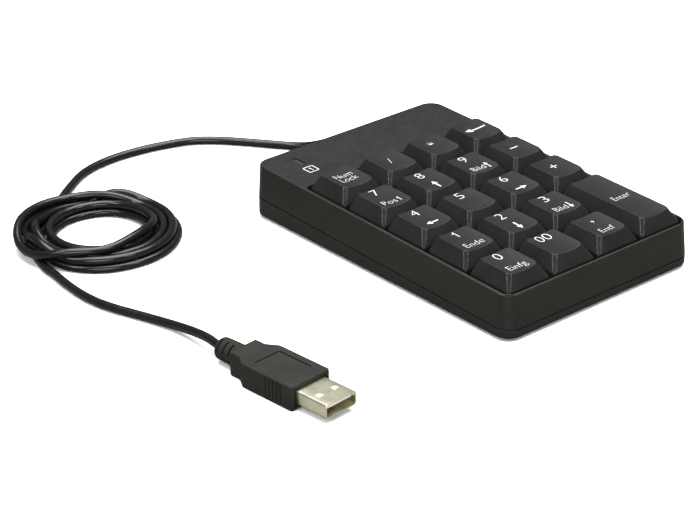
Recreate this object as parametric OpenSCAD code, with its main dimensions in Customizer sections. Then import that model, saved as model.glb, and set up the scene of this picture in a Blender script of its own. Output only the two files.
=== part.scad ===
// Numeric keypad: 19 sprung keys in a wedge-shaped two-part case, with a thin
// cable wound into a loose coil and a USB type A plug.
// Frame: origin on the table under the middle of the case, +X right,
// +Y to the back, +Z up. Millimetres.

/* [Case] */
// Width of the case at the parting line
case_w = 80.2; // [79.8:0.2:84]
// Length of the case at the parting line
case_l = 123.6; // [123.2:0.2:128]
// Height of the rim above the table at the front edge
front_h = 15.4; // [15.3:0.1:17]
// Slope of the deck, which rises to the back, in degrees
deck_tilt = 1.7; // [1.2:0.1:2.5]
// Height of the upper shell's side walls
upper_h = 11.5; // [11.3:0.1:11.8]
// Thickness of the side walls
wall = 2; // [1.6:0.1:2.1]
// Radius of the case's upright corners
corner_r = 5; // [4:0.5:6]
// How far the rubber feet stand out under the case
foot_h = 0.8; // [0.5:0.1:1.2]

/* [Keys] */
// Distance from key to key
pitch = 19.05; // [19:0.05:19.1]
// Width of a key at its skirt
key_w = 17.4; // [17:0.1:17.6]
// Width of a key's top face
top_w = 12; // [11:0.5:13]
// Length of a key's top face
top_l = 13.2; // [12:0.2:13.6]
// How far the top face sits towards the back of the key
top_back = 0.85; // [0.5:0.05:1]
// Height of the key tops above the rim
key_proud = 4.5; // [4:0.1:5]
// Depth of the hollow across a key's top face
dish_depth = 0.6; // [0.3:0.1:0.7]
// How far a key travels
travel = 3.2; // [2.6:0.1:3.3]

/* [Cable] */
// Diameter of the cable
cable_d = 2.8; // [2.4:0.1:3]
// Inner radius of the coil
coil_in = 14.5; // [12:0.5:16]
// Outer radius of the coil
coil_out = 27.5; // [26:0.5:30]
// Height of the coil
coil_h = 9.4; // [7:0.2:10]

/* [Hidden] */
$fn = 48;
fit = 0.06;                      // running clearance on a radius
eps = 0.02;

// Deck frame: x from the middle of the case, y from its front face at the
// parting line, z up from the rim, square to the sloping deck.
deck_y = -(case_l * cos(deck_tilt) + 2 * upper_h * sin(deck_tilt)) / 2;
deck_z = front_h;

// Keys
cols = 4;
rows = 5;
skirt_front = 3.15;              // front of the front row of skirts
key_gap = pitch - key_w;
skirt_top = -0.2;                // where the sloping sides begin
skirt_bottom = -4;
key_wall = 1.2;
ceiling = key_proud - dish_depth - 1.3;
dish_r = (pow(top_w / 2, 2) + pow(dish_depth, 2)) / (2 * dish_depth);

// Key well and its floor
well_gap = 1.2;
well_x = (pitch * (cols - 1) + key_w) / 2 + well_gap;
well_front = skirt_front - well_gap;
well_back = skirt_front + pitch * (rows - 1) + key_w + well_gap;
well_r = 2;
floor_top = skirt_bottom - 3.4;
floor_t = 1.1;
floor_under = floor_top - floor_t;

// Stems, chimneys and hooks
stem_r = 2.5;
stem_bottom = floor_under - 0.25;
rib_w = 7;
rib_t = 1.2;
rib_bottom = -5.5;
chimney_r = 3.8;
chimney_top = ceiling - travel - 0.4;
hook_x = 5.6;                    // middle of a hook's leg
hook_t = 1;
hook_w = 2.4;
hook_bottom = floor_under - 0.7;

// Switch membrane: three sheets under the domes
sheet_t = 0.15;
sheet_top = floor_under - 4.15;
sheet_bottom = sheet_top - 3 * sheet_t;
sheet_x = 36.4;
sheet_front = 4;
sheet_back = 97;
tail_w = 24;                     // the tail that lies on the board
tail_back = 103;
dome_h = stem_bottom - sheet_top;

// Board and what stands on it
board_t = 1.6;
board_top = sheet_bottom;
board_x = 29.6;
board_front = 99;
board_back = 119;
led_at = [-27.6, 114.4];
slot_w = 1.7;
slot_l = 5.5;
exit_x = 10;                     // where the cable leaves the back wall
exit_r = 3.05;                   // hole that the grommet sits in
flange_r = 4.2;
flange_t = 1.4;
flange_y = case_l - wall - 2.2;  // front of the grommet's flange

// Screws: four between the keys, two under the back deck
screw_at = concat(
    [for (x = [-pitch, pitch], r = [1, 4]) [x, skirt_front + pitch * r - key_gap / 2]],
    [[-33.2, 116.8], [33.2, 116.8]]);
boss_r = 3;
boss_meet = -12.2;               // where upper and lower bosses meet
screw_r = 1.15;
head_r = 2.2;
head_h = 1.4;
seat_z = -13.4;                  // where the heads seat
deck_t = 2;                      // thickness of the back deck
seam = 0.3;                      // shadow gap between the shells

// Lower shell
base_t = 1.4;
foot_r = 5;
foot_at = [for (x = [-30, 30], y = [-51, 51]) [x, y]];

// Enter key, in the last column, two rows long
enter_l = pitch + key_w;
bar_r = 0.6;
bar_x = 6;                       // pivot of the stabilizer from the key's middle
bar_z = -4.5;
bar_arm = 10;
bar_y = 14;                      // the arms' distance from the key's middle
bar_tilt = asin(travel / 2 / bar_arm);
clip_y = 10;

// Plug: its own frame has the mouth at x = 0 and points along +x
plug_at = [-104, -61, 0];
plug_turn = -85;
plug_w = 15.5;
plug_h = 8.1;
plug_front = -12.3;
plug_shoulder = -33;
neck_front = -36.9;
neck_back = -41;
neck_w = 10.7;
relief_back = -50.2;
relief_mid = 3.85;               // height of the bend relief's axis
shell_w = 12;
shell_h = 4.5;
shell_t = 0.3;
plug_mid = plug_h / 2;
tongue_gap = 0.15;               // clear of the shell's round inner corners
tongue_t = 1.84;
tongue_end = -1.5;
tongue_top = plug_mid + shell_h / 2 - shell_t - tongue_gap;

// Cable route, by its middle line
coil_at = [-89, 80.8];
lead_route = [
    [10, 70, 7.8], [10, 74, 7.8], [9.8, 78, 7], [9, 82, 5.4], [7.8, 86, 3.6], [6, 90, 2.2],
    [3, 95, 1.5], [-1.5, 101, 1.5], [-7, 108.5, 1.5], [-13, 116, 1.5], [-20.5, 122.5, 1.5],
    [-30, 126.2, 1.5], [-39, 128.2, 1.5], [-48.5, 129, 1.5], [-58, 128, 1.5], [-66.5, 125, 1.5],
    [-74, 120, 1.5], [-80, 115.5, 1.5], [-86, 110.5, 1.5], [-88, 108.8, 1.5]];
tail_route = [
    [-114.6, 82, 1.5], [-115, 76, 1.5], [-116.2, 67, 1.5], [-117.2, 58, 1.5], [-117.6, 50, 1.5],
    [-117, 42, 1.5], [-115.2, 34.5, 1.5], [-112.6, 27, 1.5], [-110.2, 19.5, 1.6],
    [-108.4, 11.5, 2.1], [-107.8, 4, 3], [-107.9, -3, 3.8], [-108.3, -8, relief_mid], [-108.6, -11, relief_mid]];

// Every key: its name, column, row from the front and rows that it spans
KEYS = [
    ["num_lock", 0, 4, 1], ["divide", 1, 4, 1], ["multiply", 2, 4, 1], ["backspace", 3, 4, 1],
    ["7", 0, 3, 1], ["8", 1, 3, 1], ["9", 2, 3, 1], ["minus", 3, 3, 1],
    ["4", 0, 2, 1], ["5", 1, 2, 1], ["6", 2, 2, 1], ["plus", 3, 2, 1],
    ["1", 0, 1, 1], ["2", 1, 1, 1], ["3", 2, 1, 1], ["enter", 3, 0, 2],
    ["0", 0, 0, 1], ["00", 1, 0, 1], ["decimal", 2, 0, 1]];

function key_l(k) = key_w + pitch * (k[3] - 1);
function key_mid(k) = [
    (k[1] - (cols - 1) / 2) * pitch,
    skirt_front + k[2] * pitch + key_l(k) / 2];
function is_enter(k) = k[3] > 1;

// ---- Frames and plain shapes ----

module deck() {
    translate([0, deck_y, deck_z]) rotate([deck_tilt, 0, 0]) children();
}

module at_plug() {
    translate(plug_at) rotate([0, 0, plug_turn]) children();
}

// Rectangle from [x0, y0] to [x1, y1] with round corners
module rounded(x0, x1, y0, y1, r) {
    translate([x0 + r, y0]) square([x1 - x0 - 2 * r, y1 - y0]);
    translate([x0, y0 + r]) square([x1 - x0, y1 - y0 - 2 * r]);
    for (x = [x0 + r, x1 - r], y = [y0 + r, y1 - r]) translate([x, y]) circle(r);
}

module prism(x0, x1, y0, y1, r, z0, z1) {
    translate([0, 0, z0]) linear_extrude(z1 - z0) rounded(x0, x1, y0, y1, r);
}

module block(x0, x1, y0, y1, z0, z1) {
    translate([x0, y0, z0]) cube([x1 - x0, y1 - y0, z1 - z0]);
}

module post(at, r, z0, z1) {
    translate([at[0], at[1], z0]) cylinder(h = z1 - z0, r = r);
}

// Solid through rings of points, all of one length, from the first to the last
module loft(rings) {
    n = len(rings[0]);
    last = len(rings) - 1;
    polyhedron(
        points = [for (r = rings) each r],
        faces = concat(
            [[for (j = [0:n - 1]) j]],
            [for (i = [0:last - 1], j = [0:n - 1])
                [i * n + j, (i + 1) * n + j, (i + 1) * n + (j + 1) % n, i * n + (j + 1) % n]],
            [[for (j = [n - 1:-1:0]) last * n + j]]));
}

// ---- Upper shell ----

// Outline of the shell, inset all round and shifted for the draft of the walls
module upper_slab(inset, front, z) {
    prism(-case_w / 2 + inset, case_w / 2 - inset, front, case_l - inset, corner_r, z, z + eps,
          $fn = 24);
}

module upper_body() {
    hull() {
        upper_slab(0, 0, -upper_h);
        upper_slab(0.38, 1.1, -0.6);
        upper_slab(0.6, 1.3, -0.2);
        upper_slab(1, 1.7, -eps);
    }
}

module key_passage(k) {
    translate(concat(key_mid(k), 0)) {
        post([0, 0], stem_r + fit, floor_under - 1, chimney_top + 1);
        block(-rib_w / 2 - 0.2, rib_w / 2 + 0.2, -rib_t / 2 - 0.15, rib_t / 2 + 0.15,
              floor_under - 1, chimney_top + 1);
        hook_places(k) block(hook_x - hook_t / 2 - 0.2, hook_x + hook_t / 2 + 0.2,
                             -hook_w / 2 - 0.2, hook_w / 2 + 0.2, floor_under - 1, floor_top + 1);
    }
}

// The two hooks of a key: left and right, or front and back on the long key
module hook_places(k) {
    for (turn = is_enter(k) ? [90, 270] : [0, 180])
        rotate([0, 0, turn]) translate([is_enter(k) ? 2.4 : 0, 0, 0]) children();
}

module bar_clips() {
    for (y = [-clip_y, clip_y])
        block(bar_x - 1.1, bar_x + 1.1, y - 1, y + 1, floor_top - 0.1, bar_z + 1.2);
}

module top_cover() {
    enter = key_mid(KEYS[15]);
    color([0.075, 0.075, 0.07]) deck() difference() {
        union() {
            difference() {
                upper_body();
                prism(-well_x, well_x, well_front, well_back, well_r, floor_top, 1);
                prism(-case_w / 2 + wall, case_w / 2 - wall, wall, case_l - wall,
                      corner_r - wall, -upper_h - 1, floor_under);
                prism(-case_w / 2 + wall + 0.4, case_w / 2 - wall - 0.4, well_back + 1.6,
                      case_l - wall - 0.4, 2, floor_under - 0.1, -deck_t);
            }
            for (k = KEYS) post(key_mid(k), chimney_r, floor_top - 0.1, chimney_top);
            for (i = [0:3]) post(screw_at[i], boss_r, boss_meet, floor_under + 0.1);
            for (i = [4, 5]) post(screw_at[i], boss_r, boss_meet, -deck_t + 0.1);
            translate(concat(enter, 0)) bar_clips();
        }
        for (k = KEYS) key_passage(k);
        for (s = screw_at) post(s, screw_r, boss_meet - 1, floor_under + 0.4);
        translate([enter[0] + bar_x, enter[1], bar_z]) rotate([90, 0, 0])
            cylinder(h = 2 * clip_y + 4, r = bar_r + fit, center = true);
        lens_slot(0);
        exit_hole();
    }
}

// Round hole through the back wall, half of it in each shell
module exit_hole() {
    translate([exit_x, case_l - wall - 1, -upper_h]) rotate([-90, 0, 0])
        cylinder(h = wall + 3, r = exit_r);
}

module lens_slot(gap) {
    prism(led_at[0] - slot_w / 2 + gap, led_at[0] + slot_w / 2 - gap,
          led_at[1] - slot_l / 2 + gap, led_at[1] + slot_l / 2 - gap, 0.5, -deck_t - 1, 1);
}

module led_lens() {
    color([0.2, 0.2, 0.2, 0.8]) deck() {
        intersection() {
            lens_slot(0);
            block(-case_w, case_w, 0, case_l, -deck_t - 0.5, -0.35);
        }
        block(led_at[0] - 1.4, led_at[0] + 1.4, led_at[1] - 3.4, led_at[1] + 3.4,
              -deck_t - 1, -deck_t);
        post(led_at, 1.2, board_top + 1.2, -deck_t - 0.5);
    }
}

// ---- Lower shell ----

// Block that is level with the table, over the whole case
module level_block(z0, z1) {
    block(-case_w, case_w, -case_l, case_l, z0, z1);
}

module lower_prism(z0, z1) {
    prism(-case_w / 2, case_w / 2, 0, case_l, corner_r, z0, z1);
}

module support_ribs() {
    for (r = [0:rows - 1], dy = [-3.6, 3.6]) {
        y = skirt_front + key_w / 2 + pitch * r + dy;
        block(-case_w / 2 + wall, case_w / 2 - wall, y - 0.5, y + 0.5, -20, sheet_bottom);
    }
    for (x = [-27, 0, 27])
        block(x - 0.6, x + 0.6, board_front + 1, board_back - 1, -20, board_top - board_t);
}

// Walls, ribs and bosses, before the base closes them
module lower_walls() {
    difference() {
        lower_prism(-20, -upper_h - seam);
        difference() {
            prism(-case_w / 2 + wall, case_w / 2 - wall, wall, case_l - wall,
                  corner_r - wall, -21, -upper_h + 1);
            support_ribs();
            for (s = screw_at) post(s, boss_r, -22, boss_meet);
        }
    }
}

// Low wall that locates the upper shell from inside
module lip() {
    difference() {
        union() {
            prism(-case_w / 2 + wall - 0.2, case_w / 2 - wall + 0.2, wall - 0.2,
                  case_l - wall + 0.2, corner_r - wall, -upper_h - 1.2, -upper_h - seam);
            prism(-case_w / 2 + wall + 0.1, case_w / 2 - wall - 0.1, wall + 0.1,
                  case_l - wall - 0.1, corner_r - wall, -upper_h - 1.2, -upper_h + 1);
        }
        prism(-case_w / 2 + wall + 0.9, case_w / 2 - wall - 0.9, wall + 0.9, case_l - wall - 0.9,
              corner_r - wall - 0.8, -upper_h - 2, -upper_h + 2);
    }
}

module bottom_cover() {
    color([0.07, 0.07, 0.065]) difference() {
        union() {
            intersection() {
                deck() lower_walls();
                level_block(foot_h, 40);
            }
            intersection() {
                deck() lower_prism(-20, -upper_h - seam);
                level_block(foot_h, foot_h + base_t);
            }
            deck() lip();
        }
        deck() {
            for (s = screw_at) {
                post(s, screw_r + 0.25, -20, boss_meet + 1);
                post(s, head_r + 0.3, -20, seat_z);
            }
            grommet_room();
        }
        for (f = foot_at) post(f, foot_r + 0.1, 0, foot_h + 0.7);
    }
}

module grommet_room() {
    exit_hole();
    block(exit_x - flange_r - 0.4, exit_x + flange_r + 0.4, flange_y - 0.4, case_l - wall,
          -upper_h - flange_r - 0.2, -upper_h + flange_r + 0.2);
}

// ---- Keys ----

// One level of a keycap, as eight points with cut corners: the skirt's outline at
// share 0, the top face's at share 1
function key_ring(k, share, inset, cut, z) =
    let (w = key_w + (top_w - key_w) * share - 2 * inset,
         l = key_l(k) + (top_l - key_w) * share - 2 * inset,
         y = top_back * share)
    [for (c = [[-1, -1], [1, -1], [1, 1], [-1, 1]], s = c[0] * c[1] > 0 ? [0, 1] : [1, 0])
        [c[0] * (w / 2 - s * cut), y + c[1] * (l / 2 - (1 - s) * cut), z]];

module key_shell(k) {
    difference() {
        loft([key_ring(k, 0, 0, 0.5, skirt_bottom), key_ring(k, 0, 0, 0.5, skirt_top),
              key_ring(k, 1, 0, 0.8, key_proud)]);
        loft([key_ring(k, 0, key_wall, 0.2, skirt_bottom - 1),
              key_ring(k, 0, key_wall, 0.2, skirt_top), key_ring(k, 1, 1, 0.2, ceiling)]);
        translate([0, 0, key_proud - dish_depth + dish_r]) rotate([90, 0, 0])
            cylinder(h = 60, r = dish_r, center = true, $fn = 180);
    }
}

module key_hook() {
    block(hook_x - hook_t / 2, hook_x + hook_t / 2, -hook_w / 2, hook_w / 2, hook_bottom,
          ceiling + 0.1);
    block(hook_x, hook_x + hook_t / 2 + 0.7, -hook_w / 2, hook_w / 2, hook_bottom,
          hook_bottom + 0.6);
}

// Eyes under the long key that carry the stabilizer's ends
module bar_eyes() {
    end_x = bar_x - bar_arm * cos(bar_tilt);
    end_z = bar_z + bar_arm * sin(bar_tilt);
    for (y = [-12.6, 12.6]) difference() {
        block(end_x - 1.7, end_x + 1.6, y - 0.8, y + 0.8, end_z - 1.1, ceiling + 0.2);
        translate([end_x, y, end_z]) rotate([90, 0, 0])
            cylinder(h = 3, r = bar_r + fit, center = true);
        translate([end_x - 0.2, y, end_z]) rotate([90, 0, 0])
            cylinder(h = 3, r = bar_r + fit, center = true);
        block(end_x - 0.2, end_x, y - 1.5, y + 1.5, end_z - bar_r - fit, end_z + bar_r + fit);
    }
}

module keycap(k) {
    color([0.085, 0.085, 0.08]) deck() translate(concat(key_mid(k), 0)) {
        key_shell(k);
        post([0, 0], stem_r, stem_bottom, ceiling + 0.2);
        block(-rib_w / 2, rib_w / 2, -rib_t / 2, rib_t / 2, rib_bottom, ceiling + 0.2);
        hook_places(k) key_hook();
        if (is_enter(k)) bar_eyes();
    }
}

module enter_stabilizer() {
    color([0.7, 0.7, 0.72]) deck()
        translate(concat(key_mid(KEYS[15]), bar_z)) translate([bar_x, 0, 0]) {
            rotate([90, 0, 0]) cylinder(h = 2 * bar_y, r = bar_r, center = true);
            for (y = [-bar_y, bar_y]) translate([0, y, 0]) {
                sphere(bar_r);
                rotate([0, -90 + bar_tilt, 0]) {
                    cylinder(h = bar_arm, r = bar_r);
                    translate([0, 0, bar_arm]) {
                        sphere(bar_r);
                        rotate([90 * sign(y), 0, 0]) cylinder(h = 2.6, r = bar_r);
                    }
                }
            }
        }
}

// ---- Switches ----

module dome(k) {
    color([0.8, 0.8, 0.78]) deck() translate(concat(key_mid(k), sheet_top)) rotate_extrude()
        polygon([
            [0, dome_h], [2.3, dome_h], [2.5, dome_h - 0.9], [4, 0.8], [4.6, 0.7], [4.6, 0],
            [3.5, 0], [3.3, 0.5], [2, dome_h - 1.2], [1.1, dome_h - 1.2], [1.1, dome_h - 2],
            [0, dome_h - 2]]);
}

module sheet(z, back) {
    translate([0, 0, z]) linear_extrude(sheet_t) difference() {
        union() {
            rounded(-sheet_x, sheet_x, sheet_front, sheet_back, 2);
            translate([-tail_w / 2, sheet_back - 3]) square([tail_w, back - sheet_back + 3]);
        }
        for (i = [0:3]) translate(screw_at[i]) circle(boss_r + 0.4);
    }
}

module membrane_upper() {
    color([0.85, 0.85, 0.8, 0.6]) deck() sheet(sheet_top - sheet_t, sheet_back);
}

module membrane_spacer() {
    color([0.9, 0.9, 0.9, 0.6]) deck() difference() {
        sheet(sheet_top - 2 * sheet_t, sheet_back);
        for (k = KEYS) post(key_mid(k), 2.5, sheet_bottom - 1, sheet_top);
    }
}

module membrane_lower() {
    color([0.85, 0.85, 0.8, 0.6]) deck() sheet(sheet_bottom, tail_back);
}

// ---- Electronics ----

module circuit_board() {
    color([0.05, 0.3, 0.12]) deck()
        prism(-board_x, board_x, board_front, board_back, 1, board_top - board_t, board_top);
}

module controller_chip() {
    color([0.05, 0.05, 0.05]) deck() {
        block(-5, 5, 107, 112, board_top + 0.2, board_top + 1.6);
        for (i = [0:7], side = [0, 1])
            block(-4.5 + i * 1.2, -4.1 + i * 1.2, side == 0 ? 105.6 : 111.9,
                  side == 0 ? 107.1 : 113.4, board_top, board_top + 0.4);
    }
}

module status_led() {
    color([0.3, 0.8, 0.3]) deck()
        block(led_at[0] - 0.8, led_at[0] + 0.8, led_at[1] - 1.6, led_at[1] + 1.6, board_top,
              board_top + 1);
}

module cable_socket() {
    color([0.9, 0.88, 0.8]) deck() difference() {
        block(exit_x - 5, exit_x + 5, 107, 112.4, board_top, -upper_h + 2.4);
        for (i = [0:3]) translate([exit_x + (i - 1.5) * 2, 109, -upper_h + 0.4])
            rotate([-90, 0, 0]) cylinder(h = 5, r = 0.5, $fn = 16);
    }
}

module inner_wires() {
    color([0.7, 0.1, 0.1]) deck() for (i = [0:3])
        translate([exit_x + (i - 1.5) * 2, 109.2, -upper_h + 0.4]) rotate([-90, 0, 0])
            cylinder(h = flange_y - 109.2, r = 0.48, $fn = 16);
}

// ---- Grommet, feet and screws ----

module cable_grommet() {
    neck = flange_y + flange_t - 0.1;
    color([0.06, 0.06, 0.06]) deck() translate([exit_x, 0, -upper_h]) rotate([-90, 0, 0])
        difference() {
            union() {
                translate([0, 0, flange_y]) cylinder(h = flange_t, r = flange_r);
                translate([0, 0, neck]) cylinder(h = case_l + 0.2 - neck, r = 3);
                translate([0, 0, case_l + 0.1]) cylinder(h = 10, r1 = 3.6, r2 = 2.3);
            }
            for (i = [0:2]) translate([0, 0, case_l + 1.9 + 2.6 * i]) difference() {
                cylinder(h = 1, r = 5);
                cylinder(h = 1, r = 2);
            }
        }
}

module rubber_feet() {
    color([0.1, 0.1, 0.1]) for (f = foot_at) post(f, foot_r, 0, foot_h + 0.7);
}

module case_screws() {
    color([0.6, 0.6, 0.62]) deck() for (s = screw_at) difference() {
        union() {
            post(s, head_r, seat_z - head_h, seat_z);
            post(s, screw_r, seat_z - 0.1, floor_under + 0.3);
        }
        for (turn = [0, 90]) translate([s[0], s[1], seat_z - head_h - 0.01]) rotate([0, 0, turn])
            translate([-1.2, -0.3, 0]) cube([2.4, 0.6, 0.8]);
    }
}

// ---- Cable ----

function unit(v) = v / norm(v);
function heading(p, i) = unit(p[min(i + 1, len(p) - 1)] - p[max(i - 1, 0)]);
function ring(p, i, r, n) =
    let (t = heading(p, i), side = unit(cross(t, [0, 0, 1])), up = cross(side, t))
    [for (j = [0:n - 1]) p[i] + r * (cos(360 * (j + 0.5) / n) * side + sin(360 * (j + 0.5) / n) * up)];

// Tube along a route
module tube(route, r, n = 8) {
    loft([for (i = [0:len(route) - 1]) ring(route, i, r, n)]);
}

module cable_lead() {
    color([0.05, 0.05, 0.05]) tube(lead_route, cable_d / 2);
}

module cable_coil() {
    edge = 2;
    color([0.05, 0.05, 0.05]) translate(concat(coil_at, 0)) rotate_extrude($fn = 96)
        rounded(coil_in, coil_out, 0.1, coil_h, edge);
}

module cable_tail() {
    color([0.05, 0.05, 0.05]) tube(tail_route, cable_d / 2);
}

// ---- Plug ----

module plug_outline() {
    half = plug_w / 2;
    neck = neck_w / 2;
    polygon([
        [plug_front - 1.2, -half], [plug_shoulder, -half], [neck_front, -neck],
        [neck_back, -neck], [neck_back, neck], [neck_front, neck],
        [plug_shoulder, half], [plug_front - 1.2, half],
        [plug_front, half - 1.2], [plug_front, -half + 1.2]]);
    for (y = [-half + 1.2, half - 1.2]) translate([plug_front - 1.2, y]) circle(1.2);
}

module plug_overmould() {
    groove_y = plug_w / 2;
    color([0.09, 0.09, 0.085]) at_plug() difference() {
        union() {
            linear_extrude(plug_h) plug_outline();
            translate([relief_back, 0, relief_mid]) rotate([0, 90, 0])
                cylinder(h = neck_back - relief_back + 0.1, r1 = 3.55, r2 = 3.8);
        }
        // Room for the shell, and the hollow around it in the front face
        block(plug_front - 7, plug_front + 1, -shell_w / 2, shell_w / 2,
              plug_mid - shell_h / 2, plug_mid + shell_h / 2);
        block(plug_front - 0.5, plug_front + 1, -shell_w / 2 - 0.5, shell_w / 2 + 0.5,
              plug_mid - shell_h / 2 - 0.5, plug_mid + shell_h / 2 + 0.5);
        // Grip grooves in both sides
        for (i = [0:4], side = [-1, 1]) {
            x = plug_front - 4.6 - 1.55 * i;
            block(x - 0.35, x + 0.35, side * groove_y - 0.4, side * groove_y + 0.4, 0.7,
                  plug_h - 0.5);
        }
        // Grooves that frame the panel on the top face
        block(-30.8, -30.2, -4.8, 4.8, plug_h - 0.4, plug_h + 1);
        block(-30.2, -17, 4.5, 5.1, plug_h - 0.4, plug_h + 1);
        // Slots of the bend relief, in two rows on each side
        for (i = [0:2], turn = [45, 135, 225, 315])
            translate([neck_back - 2.7 - 2.5 * i, 0, relief_mid]) rotate([turn, 0, 0])
                block(-0.37, 0.37, -2, 2, 2.1, 5);
    }
}

module shell_outline(inset) {
    rounded(-shell_w / 2 + inset, shell_w / 2 - inset, -shell_h / 2 + inset, shell_h / 2 - inset,
            0.4);
}

module plug_shell() {
    color([0.72, 0.69, 0.6]) at_plug() difference() {
        translate([0, 0, plug_mid]) rotate([90, 0, -90])
            linear_extrude(-plug_front + 6) difference() {
                shell_outline(0);
                shell_outline(shell_t);
            }
        for (y = [-3.05, 3.05]) block(-6.6, -4.9, y - 0.95, y + 0.95, -1, plug_h + 1);
    }
}

module plug_tongue() {
    color([0.92, 0.92, 0.9]) at_plug()
        block(plug_front - 5.8, tongue_end, -shell_w / 2 + shell_t + tongue_gap,
              shell_w / 2 - shell_t - tongue_gap, tongue_top - tongue_t, tongue_top);
}

module plug_contacts() {
    under = tongue_top - tongue_t;
    color([0.85, 0.68, 0.3]) at_plug() for (y = [-3.5, -1, 1, 3.5])
        block(-8.6, tongue_end - (abs(y) > 2 ? 0.7 : 1.7), y - 0.5, y + 0.5, under - 0.2, under);
}

// ---- The parts ----

top_cover();
bottom_cover();
led_lens();
for (k = KEYS) keycap(k);
for (k = KEYS) dome(k);
enter_stabilizer();
membrane_upper();
membrane_spacer();
membrane_lower();
circuit_board();
controller_chip();
status_led();
cable_socket();
inner_wires();
cable_grommet();
rubber_feet();
case_screws();
cable_lead();
cable_coil();
cable_tail();
plug_overmould();
plug_shell();
plug_tongue();
plug_contacts();
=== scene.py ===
"""Looks of the numeric keypad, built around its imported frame.

Lengths are in millimetres until a mesh is made.
"""

import math

import bmesh
import bpy
import numpy as np
from mathutils import Euler, Matrix, Vector


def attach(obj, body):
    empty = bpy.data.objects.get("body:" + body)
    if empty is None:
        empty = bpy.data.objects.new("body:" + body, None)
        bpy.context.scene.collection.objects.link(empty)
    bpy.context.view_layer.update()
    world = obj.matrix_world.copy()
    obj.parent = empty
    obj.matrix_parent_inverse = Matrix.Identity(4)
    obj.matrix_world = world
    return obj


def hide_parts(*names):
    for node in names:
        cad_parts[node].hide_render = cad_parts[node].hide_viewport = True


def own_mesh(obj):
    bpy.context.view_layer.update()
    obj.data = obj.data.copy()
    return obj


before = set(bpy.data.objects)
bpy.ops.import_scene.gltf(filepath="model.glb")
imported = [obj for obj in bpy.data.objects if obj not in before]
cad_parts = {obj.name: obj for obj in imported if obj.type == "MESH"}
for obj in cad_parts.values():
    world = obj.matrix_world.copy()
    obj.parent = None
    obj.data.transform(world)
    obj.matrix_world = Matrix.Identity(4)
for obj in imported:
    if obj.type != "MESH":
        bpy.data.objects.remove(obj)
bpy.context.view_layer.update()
MM = 0.001

# ---- Sizes, as in part.scad ----

CASE_W, CASE_L, FRONT_H, UPPER_H = 80.2, 123.6, 15.4, 11.5
TILT = math.radians(1.7)
CORNER_R, WALL, SEAM, FOOT_H, BASE_T = 5.0, 2.0, 0.3, 0.8, 1.4
PITCH, KEY_W, TOP_W, TOP_L, TOP_BACK = 19.05, 17.4, 12.0, 13.2, 0.85
KEY_PROUD, DISH, SKIRT_TOP, SKIRT_BOTTOM, KEY_WALL = 4.5, 0.6, -0.2, -4.0, 1.2
DISH_R = ((TOP_W / 2) ** 2 + DISH ** 2) / (2 * DISH)
CEILING = KEY_PROUD - DISH - 1.3
TRAVEL, SKIRT_FRONT, WELL_GAP = 3.2, 3.15, 1.2
WELL_X = (PITCH * 3 + KEY_W) / 2 + WELL_GAP
WELL_FRONT = SKIRT_FRONT - WELL_GAP
WELL_BACK = SKIRT_FRONT + PITCH * 4 + KEY_W + WELL_GAP
FLOOR_TOP, FLOOR_UNDER = -7.4, -8.5
STEM_R, STEM_BOTTOM, CHIMNEY_R, CHIMNEY_TOP = 2.5, -8.75, 3.8, -1.0
SHEET_TOP, DOME_H = -12.65, 3.9
BOSS_MEET, SEAT_Z = -12.2, -13.4
LED_AT, SLOT_W, SLOT_L = (-27.6, 114.4), 1.7, 5.5
EXIT_X = 10.0
CABLE_R = 1.4
PLUG_W, PLUG_H, PLUG_FRONT, PLUG_SHOULDER = 15.5, 8.1, -12.3, -33.0
NECK_FRONT, NECK_BACK, NECK_W, RELIEF_BACK, RELIEF_MID = -36.9, -41, 10.7, -50.2, 3.85
SHELL_W, SHELL_H, SHELL_T = 12.0, 4.5, 0.3
KEY_SCREWS = [(x, SKIRT_FRONT + PITCH * r - (PITCH - KEY_W) / 2) for x in (-PITCH, PITCH) for r in (1, 4)]
BACK_SCREWS = [(-33.2, 116.8), (33.2, 116.8)]
SCREWS = KEY_SCREWS + BACK_SCREWS
BOSS_R, HEAD_R, SHANK_R = 3, 2.5, 1.4
FEET = [(x, y) for x in (-30, 30) for y in (-51, 51)]
FOOT_R = 5
# Snap hooks under each key: distance from its middle, and how far they sit off centre on the long key
HOOK_AT, HOOK_OFF = 5.6, 2.4
# The long key's stabilizer: its pivot from the key's middle, and the length of its arms
BAR_X, BAR_Z, BAR_ARM = 6, -4.5, 10

DECK_Y = -(CASE_L * math.cos(TILT) + 2 * UPPER_H * math.sin(TILT)) / 2
DECK = Matrix.Translation((0, DECK_Y, FRONT_H)) @ Matrix.Rotation(TILT, 4, "X")
PLUG = Matrix.Translation((-104, -61, 0)) @ Matrix.Rotation(math.radians(-85), 4, "Z")

# name, column, row from the front, rows spanned
KEYS = [
    ("num_lock", 0, 4, 1), ("divide", 1, 4, 1), ("multiply", 2, 4, 1), ("backspace", 3, 4, 1),
    ("7", 0, 3, 1), ("8", 1, 3, 1), ("9", 2, 3, 1), ("minus", 3, 3, 1),
    ("4", 0, 2, 1), ("5", 1, 2, 1), ("6", 2, 2, 1), ("plus", 3, 2, 1),
    ("1", 0, 1, 1), ("2", 1, 1, 1), ("3", 2, 1, 1), ("enter", 3, 0, 2),
    ("0", 0, 0, 1), ("00", 1, 0, 1), ("decimal", 2, 0, 1)]


def key_len(key):
    return KEY_W + PITCH * (key[3] - 1)


def key_mid(key):
    return (key[1] - 1.5) * PITCH, SKIRT_FRONT + key[2] * PITCH + key_len(key) / 2


# ---- Camera ----

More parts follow.
